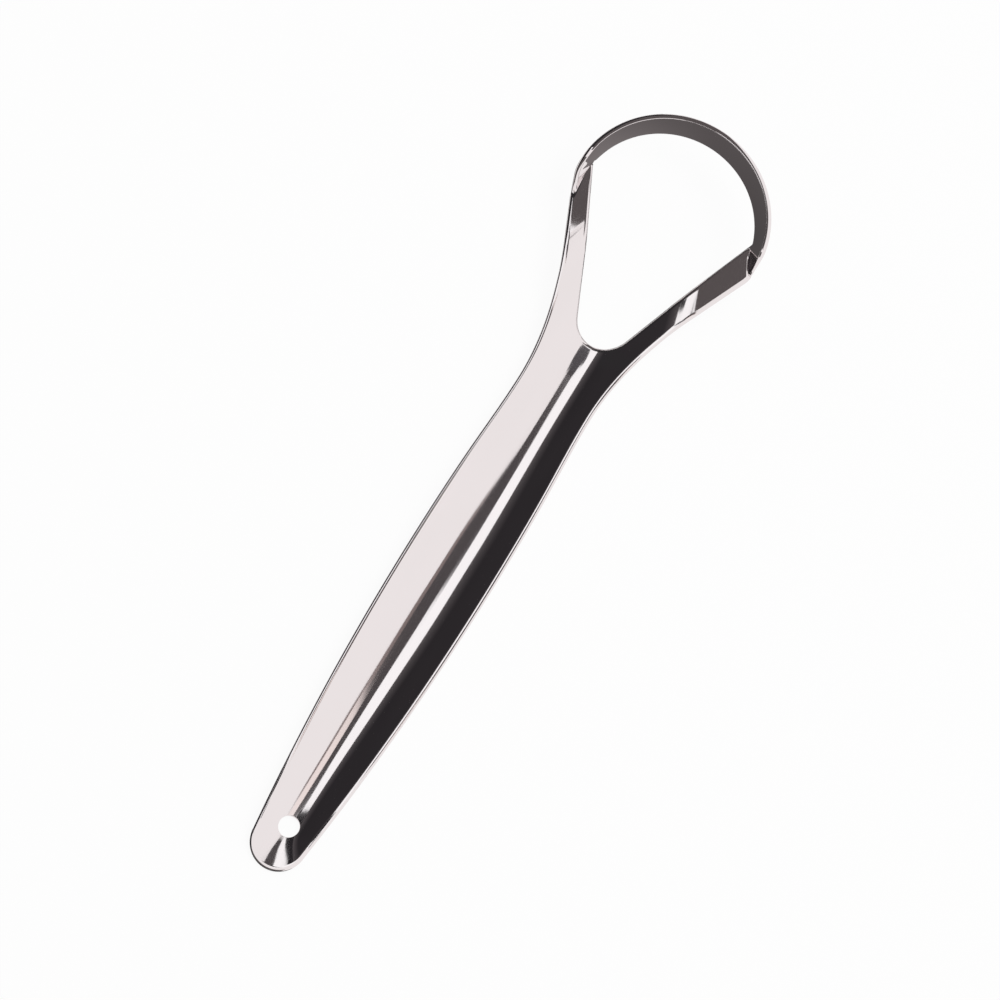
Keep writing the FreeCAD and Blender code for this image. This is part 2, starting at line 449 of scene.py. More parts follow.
@dataclass
class SheetPatch:
    """Piece of sheet metal: a grid of its middle surface, thickened, with rounded or cut borders.

    Every row carries a closed section: along the upper skin, round an elliptic edge, back along the
    lower skin and round the other edge. A reach of zero makes a flat cut instead of a rounding.
    """

    middle: Array
    normals: Array
    first: Border
    last: Border
    half: float
    closed: bool = False
    quarter: int = 6
    least_reach: float = 1e-6
    least_area: float = 1e-12
    weld: float = 1e-4

    def sections(self) -> tuple[Array, Array, Array]:
        """Closed section of every row: middle point, plus half a sheet times cosine along the normal,
        plus reach times sine along the border's outward direction.

        Returns:
            Points and normals of each row's section, and which border each step of it belongs to
            (0 for the skins, 1 for the first border, 2 for the last).
        """
        q, columns = self.quarter, self.middle.shape[1]
        bend, level = np.linspace(0.0, math.pi / 2, q + 1)[1:], np.zeros(columns + q)
        column = np.concatenate([np.zeros(q, int), np.arange(columns), np.full(q, columns - 1)])
        turns = (np.concatenate([bend[::-1], level]), np.concatenate([level, bend]))
        side = np.zeros(3)
        tilt = np.zeros(3)
        for border, turn in zip((self.first, self.last), turns):
            out = border.outward[:, None] * np.sin(turn)[None, :, None]
            reach = border.reach[:, None, None]
            side = side + out * reach
            tilt = tilt + out / np.maximum(reach, self.least_reach)
        centre = self.middle[:, column] + side
        rise = np.cos(turns[0] + turns[1])[None, :, None] * self.normals[:, column]
        upper, lower = centre + self.half * rise, centre - self.half * rise
        upper_normal, lower_normal = unit(tilt + rise / self.half), unit(tilt - rise / self.half)
        points = np.concatenate([upper, lower[:, -2:0:-1]], 1)
        normals = np.concatenate([upper_normal, lower_normal[:, -2:0:-1]], 1)
        skin = np.zeros(columns - 1, int)
        owner = np.concatenate([np.ones(q, int), skin, np.full(2 * q, 2), skin, np.ones(q, int)])
        return points, normals, owner

    def corners(self) -> tuple[Array, Array, Array]:
        """All faces of the closed shell before welding: walls between rows, and a lid at each open end.

        Returns:
            Points, faces as four point numbers each, and a normal for every face corner.
        """
        points, normals, owner = self.sections()
        rows, around = points.shape[:2]
        points, normals = points.reshape(-1, 3), normals.reshape(-1, 3)
        row, step = np.arange(rows if self.closed else rows - 1), np.arange(around)
        next_row, ahead = (row + 1) % rows, (step + 1) % around
        here, after = row[:, None] * around, next_row[:, None] * around
        faces = np.stack([here + step, here + ahead, after + ahead, after + step], -1).reshape(-1, 4)
        is_flat = np.zeros((len(row), around), bool)
        for number, border in enumerate((self.first, self.last), start=1):
            is_cut = (border.reach[row] == 0) | (border.reach[next_row] == 0)
            is_flat |= (owner == number) & is_cut[:, None]
        is_flat = is_flat.reshape(-1)
        if not self.closed:
            across = np.arange(around // 2)
            lid = np.stack([across, across + 1, around - across - 1, (around - across) % around], -1)
            faces = np.concatenate([faces, lid[:, ::-1], lid + (rows - 1) * around])
            is_flat = np.concatenate([is_flat, np.ones(2 * len(lid), bool)])
        corner_normals = normals[faces]
        diagonals = points[faces[:, 2]] - points[faces[:, 0]]
        facing = np.cross(diagonals, points[faces[:, 3]] - points[faces[:, 1]])
        probe = (rows // 2) * around + self.quarter + self.middle.shape[1] // 2
        if facing[probe] @ normals[faces[probe, 0]] < 0:
            faces, corner_normals, facing = faces[:, ::-1], corner_normals[:, ::-1], -facing
        size = np.linalg.norm(facing, axis=-1, keepdims=True)
        facing = facing / np.maximum(size, self.least_area)
        corner_normals = np.where(is_flat[:, None, None], facing[:, None, :], corner_normals)
        return points, faces, corner_normals

    def mesh(self, name: str, lift: Array) -> bpy.types.Mesh:
        """Welded mesh of the patch in metres, with the exact normals of the surface.

        Args:
            name: name of the mesh.
            lift: move from the press's own zero to the row frame, in millimetres.

        Returns:
            The mesh, closed, with its faces outwards.
        """
        points, faces, normals = self.corners()
        key = np.round(points / self.weld).astype(np.int64)
        _, kept, number = np.unique(key, axis=0, return_index=True, return_inverse=True)
        faces = number.reshape(-1)[faces]
        distinct = faces != np.roll(faces, -1, axis=1)
        count = distinct.sum(1)
        crossed = (faces[:, 0] == faces[:, 2]) | (faces[:, 1] == faces[:, 3])
        four, three = (count == 4) & ~crossed, (count == 3) & ~crossed
        quads, triangles = faces[four], faces[three][distinct[three]].reshape(-1, 3)
        corner_normals = np.concatenate([normals[four].reshape(-1, 3), normals[three][distinct[three]]])
        mesh = bpy.data.meshes.new(name)
        mesh.from_pydata(((points[kept] + lift) * MM).tolist(), [], quads.tolist() + triangles.tolist())
        mesh.polygons.foreach_set("use_smooth", np.ones(len(mesh.polygons), bool))
        mesh.update()
        mesh.normals_split_custom_set(corner_normals.tolist())
        return mesh


@dataclass(frozen=True)
class Piece:
    """A visible piece of the tool that stands for one CAD node."""

    name: str
    node: str
    form: PressForm

    def patch(self) -> SheetPatch:
        """Sheet patch of the piece, in the press's own millimetres."""
        raise NotImplementedError

    def ruled(self, inner: Edge, outer: Edge, columns: int, closed: bool = False) -> SheetPatch:
        """Patch of straight plan rulings from one edge to another, lifted onto the sheet.

        Args:
            inner: first border.
            outer: last border, with as many rows.
            columns: points across.
            closed: whether the last row meets the first one.

        Returns:
            The sheet patch.
        """
        form = self.form
        share = np.linspace(0.0, 1.0, columns)[None, :, None]
        plan = inner.points[:, None] * (1 - share) + outer.points[:, None] * share
        first, last = (Border(form.lifted(edge.points, edge.outward), edge.reach) for edge in (inner, outer))
        return SheetPatch(form.on_sheet(plan), form.normals(plan), first, last, form.half, closed)

    def build(self, steel: bpy.types.Material) -> None:
        """Makes the object, dresses it and ties it to the frame.

        Args:
            steel: finish of the sheet.
        """
        lift = np.array([0.0, -self.form.sizes.overall_length / 2, self.form.half])
        mesh = self.patch().mesh(self.name, lift)
        mesh.materials.append(steel)
        piece = add_object(self.name, mesh)
        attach(piece, BODY)
        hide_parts(self.node)
        LOG.info("%s: %d points, %d faces, stands for %s", self.name, len(mesh.vertices),
                 len(mesh.polygons), self.node)


@dataclass(frozen=True)
class HandleTrough(Piece):
    """Long trough that is held."""

    rows: int = 181
    columns: int = 97

    def patch(self) -> SheetPatch:
        """Straight rulings from the left edge to the right edge at equal stations.

        Returns:
            The sheet patch.
        """
        sizes = self.form.sizes
        right = self.form.side_edge(np.linspace(sizes.eye_end, sizes.handle_end, self.rows))
        return self.ruled(right.mirrored(), right, self.columns)


@dataclass(frozen=True)
class HangingEye(Piece):
    """Rounded tail end with the hanging hole."""

    cut_rows: int = 32
    side_rows: int = 40
    tail_rows: int = 65
    columns: int = 49

    def half_border(self) -> Edge:
        """Right half of the outer border, from the cut's middle round to the tail's end.

        Returns:
            The cut, the side and the arc of the tail as one run.
        """
        form, sizes = self.form, self.form.sizes
        side = form.side_edge(np.linspace(sizes.eye_end, form.knots[0].station, self.side_rows))
        cut_x = np.linspace(0.0, side.points[0, 0], self.cut_rows)
        cut = Edge.cut(np.stack([cut_x, np.full(self.cut_rows, sizes.eye_end)], -1), (0.0, 1.0))
        outward = ray(np.linspace(-form.tail_turn, -math.pi / 2, self.tail_rows)[1:])
        centre = np.array([0.0, sizes.tail_radius])
        tail = form.rounded(centre + sizes.tail_radius * outward, outward, sizes.edge_reach)
        return cut.then(side, tail)

    def patch(self) -> SheetPatch:
        """Straight rulings from the hole's edge out to the border, all the way round.

        Returns:
            The sheet patch, closed into a ring.
        """
        sizes = self.form.sizes
        half = self.half_border()
        border = half.then(half.mirrored().rows(slice(-2, 0, -1)))
        centre = np.array([0.0, sizes.hole_station])
        away = unit(border.points - centre)
        hole = self.form.rounded(centre + sizes.hole_radius * away, -away, sizes.hole_edge_reach)
        return self.ruled(hole, border, self.columns, closed=True)


@dataclass(frozen=True)
class Fork(Piece):
    """End of the trough with the rounded throat, where the two arms begin."""

    back_rows: int = 33
    side_rows: int = 65
    columns: int = 65

    def half_edges(self, side: Side) -> tuple[Edge, Edge]:
        """Edges of one half from the middle of the throat to the arm, the left one mirrored.

        Args:
            side: side of the tool.

        Returns:
            The throat's edge, and the cut behind it followed by the outer edge.
        """
        form, sizes = self.form, self.form.sizes
        corner = form.side_edge(np.array([sizes.handle_end])).points[0]
        back = sizes.handle_end - form.throat_centre[1]
        corner_angle = math.atan2(back, corner[0])
        arc = np.linspace(-math.pi / 2, corner_angle, self.back_rows)
        behind = np.stack([-back * np.tan(arc + math.pi / 2), np.full(self.back_rows, sizes.handle_end)], -1)
        share = np.linspace(0.0, 1.0, self.side_rows)
        arc_distance = (arc + form.lean) * form.throat_radius
        corner_distance = (corner_angle + form.lean) * form.throat_radius
        beside = corner_distance + (form.fork_distance - corner_distance) * share
        throat = form.throat_edge(np.concatenate([arc_distance, beside]), side)
        end_station = form.arm_outer_edge(np.array([form.fork_distance])).points[0, 1]
        outer = form.side_edge(sizes.handle_end + (end_station - sizes.handle_end) * share)
        return throat, Edge.cut(behind, (0.0, -1.0)).then(outer)

    def patch(self) -> SheetPatch:
        """Straight rulings from the throat's edge to the cut behind it and to the outer edges.

        Returns:
            The sheet patch, from the left arm round the throat to the right arm.
        """
        halves = zip(self.half_edges(Side.LEFT), self.half_edges(Side.RIGHT))
        inner, outer = (left.mirrored().rows(slice(None, 0, -1)).then(right) for left, right in halves)
        return self.ruled(inner, outer, self.columns)


@dataclass(frozen=True)
class Arm(Piece):
    """Straight arm that runs up the trough's side and levels out."""

    side: Side = Side.RIGHT
    rows: int = 81
    columns: int = 41

    def patch(self) -> SheetPatch:
        """Straight rulings square to the arm, from the opening's edge to the outer edge.

        Returns:
            The sheet patch.
        """
        form = self.form
        distance = np.linspace(form.fork_distance, form.tip_distance, self.rows)
        inner, outer = form.throat_edge(distance, self.side), form.arm_outer_edge(distance)
        if self.side is Side.LEFT:
            inner, outer = inner.mirrored(), outer.mirrored()
        return self.ruled(inner, outer, self.columns)


@dataclass
class BandPath:
    """Edge of the band in plan: straight off the arm, round the folded corner, then round the arc."""

    start: Array
    along: Array
    across: Array
    centre: Array
    radius: float
    corner: float

    def __post_init__(self) -> None:
        """Finds where the straight run and the corner end, so that all three parts meet smoothly."""
        reach = self.start - self.corner * self.across - self.centre
        dot = float(reach @ self.along)
        room = (self.radius - self.corner) ** 2 - float(reach @ reach)
        self.straight = -dot + math.sqrt(dot * dot + room)
        self.pivot = self.start - self.corner * self.across + self.straight * self.along
        leaves = self.pivot - self.centre
        self.arc_angle = math.atan2(leaves[1], leaves[0])
        self.lean = math.atan2(self.along[0], self.along[1])
        self.bend = self.corner * (self.arc_angle + self.lean)

    def distance(self, angle: float) -> float:
        """Distance along the path at which the arc reaches an angle in degrees."""
        return self.straight + self.bend + self.radius * (math.radians(angle) - self.arc_angle)

    def points(self, distance: Array) -> Array:
        """Plan points of the path.

        Args:
            distance: distances along it.

        Returns:
            Points of the straight run, of the corner or of the arc, whichever each distance reaches.
        """
        straight = self.start + np.minimum(distance, self.straight)[:, None] * self.along
        turned = np.clip((distance - self.straight) / self.corner, 0.0, self.bend / self.corner) - self.lean
        corner = self.pivot + self.corner * ray(turned)
        angle = self.arc_angle + np.maximum(distance - self.straight - self.bend, 0.0) / self.radius
        arc = self.centre + self.radius * ray(angle)
        on_straight = (distance <= self.straight)[:, None]
        on_corner = (distance <= self.straight + self.bend)[:, None]
        return np.where(on_straight, straight, np.where(on_corner, corner, arc))


@dataclass(frozen=True)
class ScrapingBand(Piece):
    """Half-round upright band with its two folded corners.

    Where a fold starts is given by the distances travelled along the lower and the upper edge, and
    where it ends by the angles that they reach on the arc.
    """

    height: float = 4.98
    lean_out: float = 1.05
    arc_start: float = 24.0
    inner_corner: float = 1.3
    outer_corner: float = 4.0
    right_fold_start: tuple[float, float] = (8.0, 6.3)
    left_fold_start: tuple[float, float] = (7.2, 1.6)
    fold_end: tuple[float, float] = (17.0, 12.0)
    rim_reach: float = 0.2
    rim_inset: float = 0.06
    corner_rows: int = 97
    arc_rows: int = 193
    columns: int = 33

    def paths(self, side: Side) -> tuple[BandPath, BandPath]:
        """Lower and upper edge of one half of the band in plan.

        Args:
            side: side of the tool; the left half is given mirrored to the right.

        Returns:
            The two paths.
        """
        form, sizes = self.form, self.form.sizes
        centre = np.array([0.0, sizes.overall_length - sizes.head_width / 2])
        rim = sizes.head_width / 2 - form.half - self.rim_inset
        tip = form.throat_side + form.tip_distance * form.along
        start = form.punched_point(tip + form.across * form.half, side)
        low = BandPath(start, form.punched(form.along, side), form.punched(form.across, side),
                       centre, rim - self.lean_out, self.inner_corner)
        high = BandPath(tip + form.across * (sizes.arm_width - form.half), form.along, form.across,
                        centre, rim, self.outer_corner)
        return low, high

    def corner_rulings(self, side: Side) -> tuple[Array, Array]:
        """Rulings of one folded corner, carried along both edges by one smooth share.

        The distances travelled along the two edges pass through four pairs of values with cubic
        pieces, and the upper edge climbs by an eased step between the second and the third pair.

        Args:
            side: side of the tool; the left corner is given mirrored to the right.

        Returns:
            Points of the lower and of the upper edge, from the arm's end to the start of the arc.
        """
        low, high = self.paths(side)
        fold_start = self.right_fold_start if side is Side.RIGHT else self.left_fold_start
        fold_end = (low.distance(self.fold_end[0]), high.distance(self.fold_end[1]))
        corner_end = (low.distance(self.arc_start), high.distance(self.arc_start))
        stops = np.array([(0.0, 0.0), fold_start, fold_end, corner_end])
        slope = np.gradient(stops, axis=0)
        share = np.linspace(0.0, len(stops) - 1, self.corner_rows)
        index = np.minimum(share.astype(int), len(stops) - 2)
        past_stop = (share - index)[:, None]
        travel = cubic(past_stop, stops[index], stops[index + 1], slope[index], slope[index + 1])
        climb = eased((travel[:, 1] - stops[1, 1]) / (stops[2, 1] - stops[1, 1]))
        brim = self.form.brim
        lower = np.column_stack([low.points(travel[:, 0]), np.full(len(share), brim)])
        upper = np.column_stack([high.points(travel[:, 1]), brim + self.height * climb])
        return lower, upper

    def square_out(self, edge: Array, ruling: Array) -> Array:
        """Directions along the sheet and square to an edge: the ruling less its part along the edge."""
        along = unit(np.gradient(edge, axis=0))
        return unit(ruling - np.sum(ruling * along, -1, keepdims=True) * along)

    def edges(self) -> tuple[Array, Array]:
        """Lower and upper edge of the whole band: corner, cone round the arc, corner.

        Returns:
            Points of the two edges, from the right arm round to the left arm.
        """
        right, left = self.corner_rulings(Side.RIGHT), self.corner_rulings(Side.LEFT)
        low, high = self.paths(Side.RIGHT)
        angle = np.radians(np.linspace(self.arc_start, 180 - self.arc_start, self.arc_rows))[1:-1]
        away = np.column_stack([ray(angle), np.zeros(len(angle))])
        foot = np.array([0.0, low.centre[1], self.form.brim])
        arcs = (foot + low.radius * away, foot + high.radius * away + np.array([0.0, 0.0, self.height]))
        flip = np.append(OTHER_SIDE, 1.0)
        lower, upper = (np.concatenate([right[k], arcs[k], (left[k] * flip)[::-1]]) for k in range(2))
        return lower, upper

    def patch(self) -> SheetPatch:
        """Straight rulings from the lower to the upper edge.

        Returns:
            The sheet patch, whose roundings change as the band turns upright.
        """
        form, level_reach = self.form, self.form.sizes.edge_reach
        lower, upper = self.edges()
        ruling = unit(upper - lower)
        upright = eased((upper[:, 2] - form.brim) / self.height)
        inset = (level_reach - form.half) * (1 - upright)
        rim_reach = level_reach + (self.rim_reach - level_reach) * upright
        down, up = self.square_out(lower, -ruling), self.square_out(upper, ruling)
        lower = lower - down * inset[:, None]
        upper = upper + up * ((form.half - self.rim_reach) * upright - inset)[:, None]
        share = np.linspace(0.0, 1.0, self.columns)[None, :, None]
        middle = lower[:, None] * (1 - share) + upper[:, None] * share
        normals = unit(np.cross(np.gradient(middle, axis=1), np.gradient(middle, axis=0)))
        return SheetPatch(middle, normals, Border(down, form.half + inset), Border(up, rim_reach), form.half)


class Number:
    """Number socket of a node tree, on which Python's operators add Math nodes."""

    def __init__(self, graph: "Graph", socket: bpy.types.NodeSocket) -> None:
        """Keeps the socket and the graph that it belongs to."""
        self.graph = graph
        self.socket = socket

    def maths(self, operation: str, first: Any, second: Any) -> "Number":
        """Result of one new Math node on two numbers or Numbers."""
        node = self.graph.node("ShaderNodeMath", {"operation": operation}, {0: first, 1: second})
        return Number(self.graph, node.outputs[0])

    def __add__(self, other: Any) -> "Number":
        """Sum."""
        return self.maths("ADD", self, other)

    def __radd__(self, other: Any) -> "Number":
        """Sum, from the other side."""
        return self.maths("ADD", other, self)

    def __sub__(self, other: Any) -> "Number":
        """Difference."""
        return self.maths("SUBTRACT", self, other)

    def __rsub__(self, other: Any) -> "Number":
        """Difference, from the other side."""
        return self.maths("SUBTRACT", other, self)

    def __mul__(self, other: Any) -> "Number":
        """Product."""
        return self.maths("MULTIPLY", self, other)

    def __rmul__(self, other: Any) -> "Number":
        """Product, from the other side."""
        return self.maths("MULTIPLY", other, self)

    def larger(self, other: Any) -> "Number":
        """The larger of two numbers."""
        return self.maths("MAXIMUM", self, other)


class Graph:
    """Node tree of a material or of the world."""

    def __init__(self, owner: Any) -> None:
        """Empties the owner's node tree.

        Args:
            owner: material or world whose nodes are written.
        """
        owner.use_nodes = True
        self.tree = owner.node_tree
        self.tree.nodes.clear()

    def node(self, kind: str, settings: dict[str, Any] | None = None,
             inputs: dict[Any, Any] | None = None) -> bpy.types.Node:
        """Adds a node.

        Args:
            kind: Blender's name for the node's type.
            settings: attributes, set first.
            inputs: values, sockets or Numbers for the input sockets, by name or place.

        Returns:
            The node.
        """
        made = self.tree.nodes.new(kind)
        for name, value in (settings or {}).items():
            setattr(made, name, value)
        for name, value in (inputs or {}).items():
            source = value.socket if isinstance(value, Number) else value
            if isinstance(source, bpy.types.NodeSocket):
                self.tree.links.new(source, made.inputs[name])
            else:
                made.inputs[name].default_value = source
        return made

    def number(self, node: bpy.types.Node, output: Any = 0) -> Number:
        """Output of a node as a Number."""
        return Number(self, node.outputs[output])

    def place(self) -> bpy.types.NodeSocket:
        """Object coordinates, in metres."""
        return self.node("ShaderNodeTexCoord").outputs["Object"]

    def blend(self, share: Number, first: Rgba, second: Rgba) -> bpy.types.NodeSocket:
        """Colour between two others."""
        mixed = self.node("ShaderNodeMix", {"data_type": "RGBA"}, {0: share, 6: first, 7: second})
        return mixed.outputs[2]

    def glow(self, colour: Any) -> bpy.types.Node:
        """Even glow of a colour or of a colour socket."""
        return self.node("ShaderNodeEmission", {}, {"Color": colour, "Strength": 1.0})

    def show(self, shader: bpy.types.Node) -> None:
        """Feeds a shader to the material's output."""
        self.node("ShaderNodeOutputMaterial", {}, {"Surface": shader.outputs[0]})

    def noise(self, place: bpy.types.NodeSocket, grain: tuple[float, float, float], detail: float) -> Number:
        """Noise whose features have given sizes along X, Y and Z.

        Args:
            place: coordinates at which the noise is read.
            grain: size of its features in millimetres.
            detail: finer octaves.

        Returns:
            The noise, from 0 to 1.
        """
        scale = tuple(1 / (size * MM) for size in grain)
        mapped = self.node("ShaderNodeMapping", {}, {"Vector": place, "Scale": scale})
        made = self.node("ShaderNodeTexNoise", {"noise_dimensions": "3D"},
                         {"Vector": mapped.outputs[0], "Scale": 1.0, "Detail": detail, "Roughness": 0.5})
        return self.number(made)

    def seen(self) -> Number:
        """Tells rays that end in the picture from those that only light a matt surface.

        Returns:
            One for rays from the camera and for rays that metal or glass sends on, otherwise nought.
        """
        rays = self.node("ShaderNodeLightPath")
        direct, glossy, passed = (self.number(rays, f"Is {kind} Ray")
                                  for kind in ("Camera", "Glossy", "Transmission"))
        return direct.larger(glossy).larger(passed)


@dataclass(frozen=True)
class PolishedSteel:
    """Mirror-polished stainless steel: faintly warm, with polishing lines, smudges and press waves.

    Sizes of the noises' features and the depth of the waves are in millimetres.
    """

    bright: Rgba = (0.835, 0.772, 0.775, 1.0)
    dull: Rgba = (0.80, 0.745, 0.745, 1.0)
    roughness: float = 0.03
    smudge_roughness: float = 0.05
    line_roughness: float = 0.02
    smudge_grain: tuple[float, float, float] = (9.0, 14.0, 9.0)
    line_grain: tuple[float, float, float] = (0.22, 9.0, 0.22)
    wave_grain: tuple[float, float, float] = (4.0, 13.0, 4.0)
    smudge_detail: float = 4.0
    line_detail: float = 2.0
    wave_detail: float = 0.0
    wave_depth: float = 0.018
    line_depth_share: float = 0.006

    def material(self) -> bpy.types.Material:
        """Material whose base colour, roughness and bump vary over the sheet.

        Returns:
            The material.
        """
        steel = bpy.data.materials.new("mirror_polished_steel")
        graph = Graph(steel)
        place = graph.place()
        smudge = graph.noise(place, self.smudge_grain, self.smudge_detail)
        lines = graph.noise(place, self.line_grain, self.line_detail)
        waves = graph.noise(place, self.wave_grain, self.wave_detail)
        roughness = self.roughness + self.smudge_roughness * smudge + self.line_roughness * lines
        relief = waves + self.line_depth_share * lines
        bump = graph.node("ShaderNodeBump", {}, {"Strength": 1.0, "Distance": self.wave_depth * MM,
                                                 "Height": relief})
        graph.show(graph.node("ShaderNodeBsdfPrincipled", {}, {
            "Base Color": graph.blend(smudge, self.bright, self.dull), "Metallic": 1.0,
            "Roughness": roughness, "Normal": bump.outputs[0]}))
        return steel


class Tone(Enum):
    """Brightness of the studio cards, as red, green and blue."""

    WHITE = (1.14, 1.17, 1.18)
    PEACH = (1.0, 0.92, 0.89)
    FAR_FLOOR = (0.28, 0.275, 0.278)
    NEAR_FLOOR = (0.25, 0.245, 0.25)
    BROWN = (0.23, 0.19, 0.185)
    FRONT = (0.12, 0.112, 0.112)
    ARMS = (0.105, 0.095, 0.096)
    WALL = (0.1, 0.093, 0.097)
    THROAT = (0.095, 0.091, 0.098)
    VALLEY = (0.085, 0.078, 0.081)
    RIM = (0.03, 0.029, 0.031)
    DARK = (0.0235, 0.022, 0.0245)
    BLACK = (0.012, 0.012, 0.012)


@dataclass(frozen=True)
class Card:
    """Flat studio card that only reflections see: its corners in millimetres and its brightness.

    A card with a second brightness fades along one axis: the first one is that of its farthest
    corner up the axis, the second one that of its farthest corner down.
    """

    name: str
    corners: tuple[tuple[float, float, float], ...]
    level: Rgb
    low_level: Rgb | None = None
    axis: int = 2

    def colour(self, graph: Graph) -> bpy.types.NodeSocket | Rgba:
        """Colour of the card, even or fading along its axis.

        Args:
            graph: node tree of the card's paper.

        Returns:
            A colour, or the socket that gives it.
        """
        if self.low_level is None:
            return (*self.level, 1.0)
        reach = [corner[self.axis] * MM for corner in self.corners]
        bottom, top = min(reach), max(reach)
        height = graph.number(graph.node("ShaderNodeSeparateXYZ", {}, {0: graph.place()}), self.axis)
        share = (height - bottom) * (1 / (top - bottom))
        return graph.blend(share, (*self.low_level, 1.0), (*self.level, 1.0))

    def build(self) -> None:
        """Makes the card, hidden from the camera and casting no shadow."""
        paper = bpy.data.materials.new(self.name)
        graph = Graph(paper)
        graph.show(graph.glow(self.colour(graph)))
        card = add_flat_object(self.name, self.corners, paper)
        for kind in ("camera", "diffuse", "transmission", "volume_scatter", "shadow"):
            setattr(card, f"visible_{kind}", False)


def add_flat_object(name: str, corners: tuple[tuple[float, float, float], ...],
                    material: bpy.types.Material) -> bpy.types.Object:
    """Puts one flat face into the scene.

    Args:
        name: name of the object.
        corners: corners of the face in millimetres.
        material: what it is made of.

    Returns:
        The new object.
    """
    mesh = bpy.data.meshes.new(name)
    mesh.from_pydata((np.array(corners) * MM).tolist(), [], [tuple(range(len(corners)))])
    mesh.materials.append(material)
    return add_object(name, mesh)


@dataclass(frozen=True)
class Studio:
    """Plain pale floor, soft light from above, and the cards that a polished sheet reflects.

    Sizes and places are in millimetres, in the row frame.
    """

    floor_size: float = 3000.0
    floor_drop: float = 0.05
    floor_white: Rgba = (0.92, 0.915, 0.915, 1.0)
    floor_glow: float = 0.93
    world_light: float = 0.55
    lamp_size: float = 700.0
    lamp_place: tuple[float, float, float] = (350.0, 450.0, 1100.0)
    lamp_power: float = 6.0
    high: float = 600.0
    fringe_drop: float = 1.0
    peach_lift: float = 5.0
    strip_lift: float = 10.0
    low: float = 60.0
    band_height: float = 20.0
    on_floor: float = 0.2
    under_floor_cards: float = 0.1
    wall_x: float = -372.0
    wall_ends: tuple[float, float] = (-650.0, 900.0)
    wall_middle: float = 280.0
    front_y: float = -500.0
    front_end: float = 300.0
    front_top: float = 500.0
    ring_middle: tuple[float, float] = (0.0, 56.3)
    ring_radius: float = 15.5
    ring_rows: int = 17
    ring_tint: Rgb = (1.0, 0.94, 0.95)

    def floor(self) -> None:
        """Floor under the tool: white to the camera and to reflections, with the tool's soft shadow."""
        half, level = self.floor_size / 2, -self.floor_drop
        paper = bpy.data.materials.new("pale_floor")
        graph = Graph(paper)
        matt = graph.node("ShaderNodeBsdfDiffuse", {}, {"Color": self.floor_white})
        glow = graph.glow(WHITE_PAPER)
        graph.show(graph.node("ShaderNodeMixShader", {}, {
            0: graph.seen() * self.floor_glow, 1: matt.outputs[0], 2: glow.outputs[0]}))
        corners = ((-half, -half, level), (half, -half, level), (half, half, level), (-half, half, level))
        floor = add_flat_object("pale_floor", corners, paper)

    def flat_card(self, name: str, height: float, tone: Tone, plan: Plan) -> None:
        """Hangs or lays a level card.

        Args:
            name: name of the card.
            height: its height above the floor.
            tone: its brightness.
            plan: its corners in plan.
        """
        Card(name, tuple((x, y, height) for x, y in plan), tone.value).build()

    def overhead_cards(self) -> None:
        """Cards high above: the dark one that the valley shows, its brown border and line, and pale ones."""
        self.flat_card("valley_card", self.high, Tone.VALLEY, (
            (90, 46), (83, 56), (56, 68), (63, 85), (75, 89), (262, 106), (224, 121), (209, 135),
            (196, 150), (145, 162), (56, 175), (60, 194), (92, 207), (-82, 207), (-88, 195), (-122, 179),
            (-128, 163), (-140, 133), (-84, 128), (-90, 111), (-73, 94), (-85, 69), (-129, 57), (-60, 50),
            (-15, 46)))
        self.flat_card("fringe_card", self.high - self.fringe_drop, Tone.BROWN, (
            (160, 98.5), (262, 106), (224, 121), (209, 135), (196, 150), (153, 163), (100, 165),
            (135, 145), (140, 120)))
        self.flat_card("line_card", self.high, Tone.BROWN, (
            (280, 68), (345, 78), (325, 88.5), (285, 102.5), (270, 107), (215, 103.5), (222, 96),
            (250, 80.5)))
        self.flat_card("peach_card", self.high + self.peach_lift, Tone.PEACH, (
            (40, 50), (270, 60), (270, 107), (70, 90)))
        self.flat_card("strip_card", self.high + self.strip_lift, Tone.WHITE, (
            (self.wall_x, -150), (-10, -150), (-10, 600), (self.wall_x, 600)))

    def wall_card(self, name: str, bottom: float, top: float, level: Tone, low_level: Tone) -> None:
        """Stands a card along the left side, which fades from its top to its bottom.

        Args:
            name: name of the card.
            bottom: height of its lower side.
            top: height of its upper side.
            level: brightness at the top.
            low_level: brightness at the bottom.
        """
        start, end = self.wall_ends
        side = ((start, bottom), (end, bottom), (end, top), (start, top))
        Card(name, tuple((self.wall_x, y, z) for y, z in side), level.value, low_level.value).build()

    def side_cards(self) -> None:
        """Dark wall on the left and past the tail, and the cards on the floor that the left edges show."""
        self.wall_card("left_card", self.wall_middle, self.high, Tone.WALL, Tone.DARK)
        self.wall_card("left_low_card", 0.0, self.wall_middle, Tone.DARK, Tone.BLACK)
        start, end, top = self.wall_x, self.front_end, self.front_top
        front = tuple((x, self.front_y, z) for x, z in ((start, 0.0), (end, 0.0), (end, top), (start, top)))
        Card("front_card", front, Tone.FRONT.value).build()
        self.flat_card("tail_floor_card", self.on_floor, Tone.DARK, (
            (-18, -90), (12, -90), (5, -72), (-2, -68), (-3, -58), (-18, -58)))
        self.flat_card("side_floor_card", self.on_floor, Tone.NEAR_FLOOR, (
            (-18, -58), (-3, -58), (-3, 0), (-4, 30), (-9, 42), (-22, 42), (-17, 30), (-20, 0)))
        self.flat_card("left_floor_card", self.under_floor_cards, Tone.FAR_FLOOR, (
            (self.wall_x, self.front_y), (-18, self.front_y), (-18, -58), (-20, 0), (-17, 30),
            (self.wall_x, 30)))
        self.flat_card("head_floor_card", self.on_floor, Tone.DARK, (
            (-22, 42), (-9, 42), (-16.5, 56), (-15.5, 64), (-6, 73.5), (-6, 82), (-22, 76), (-29, 58)))

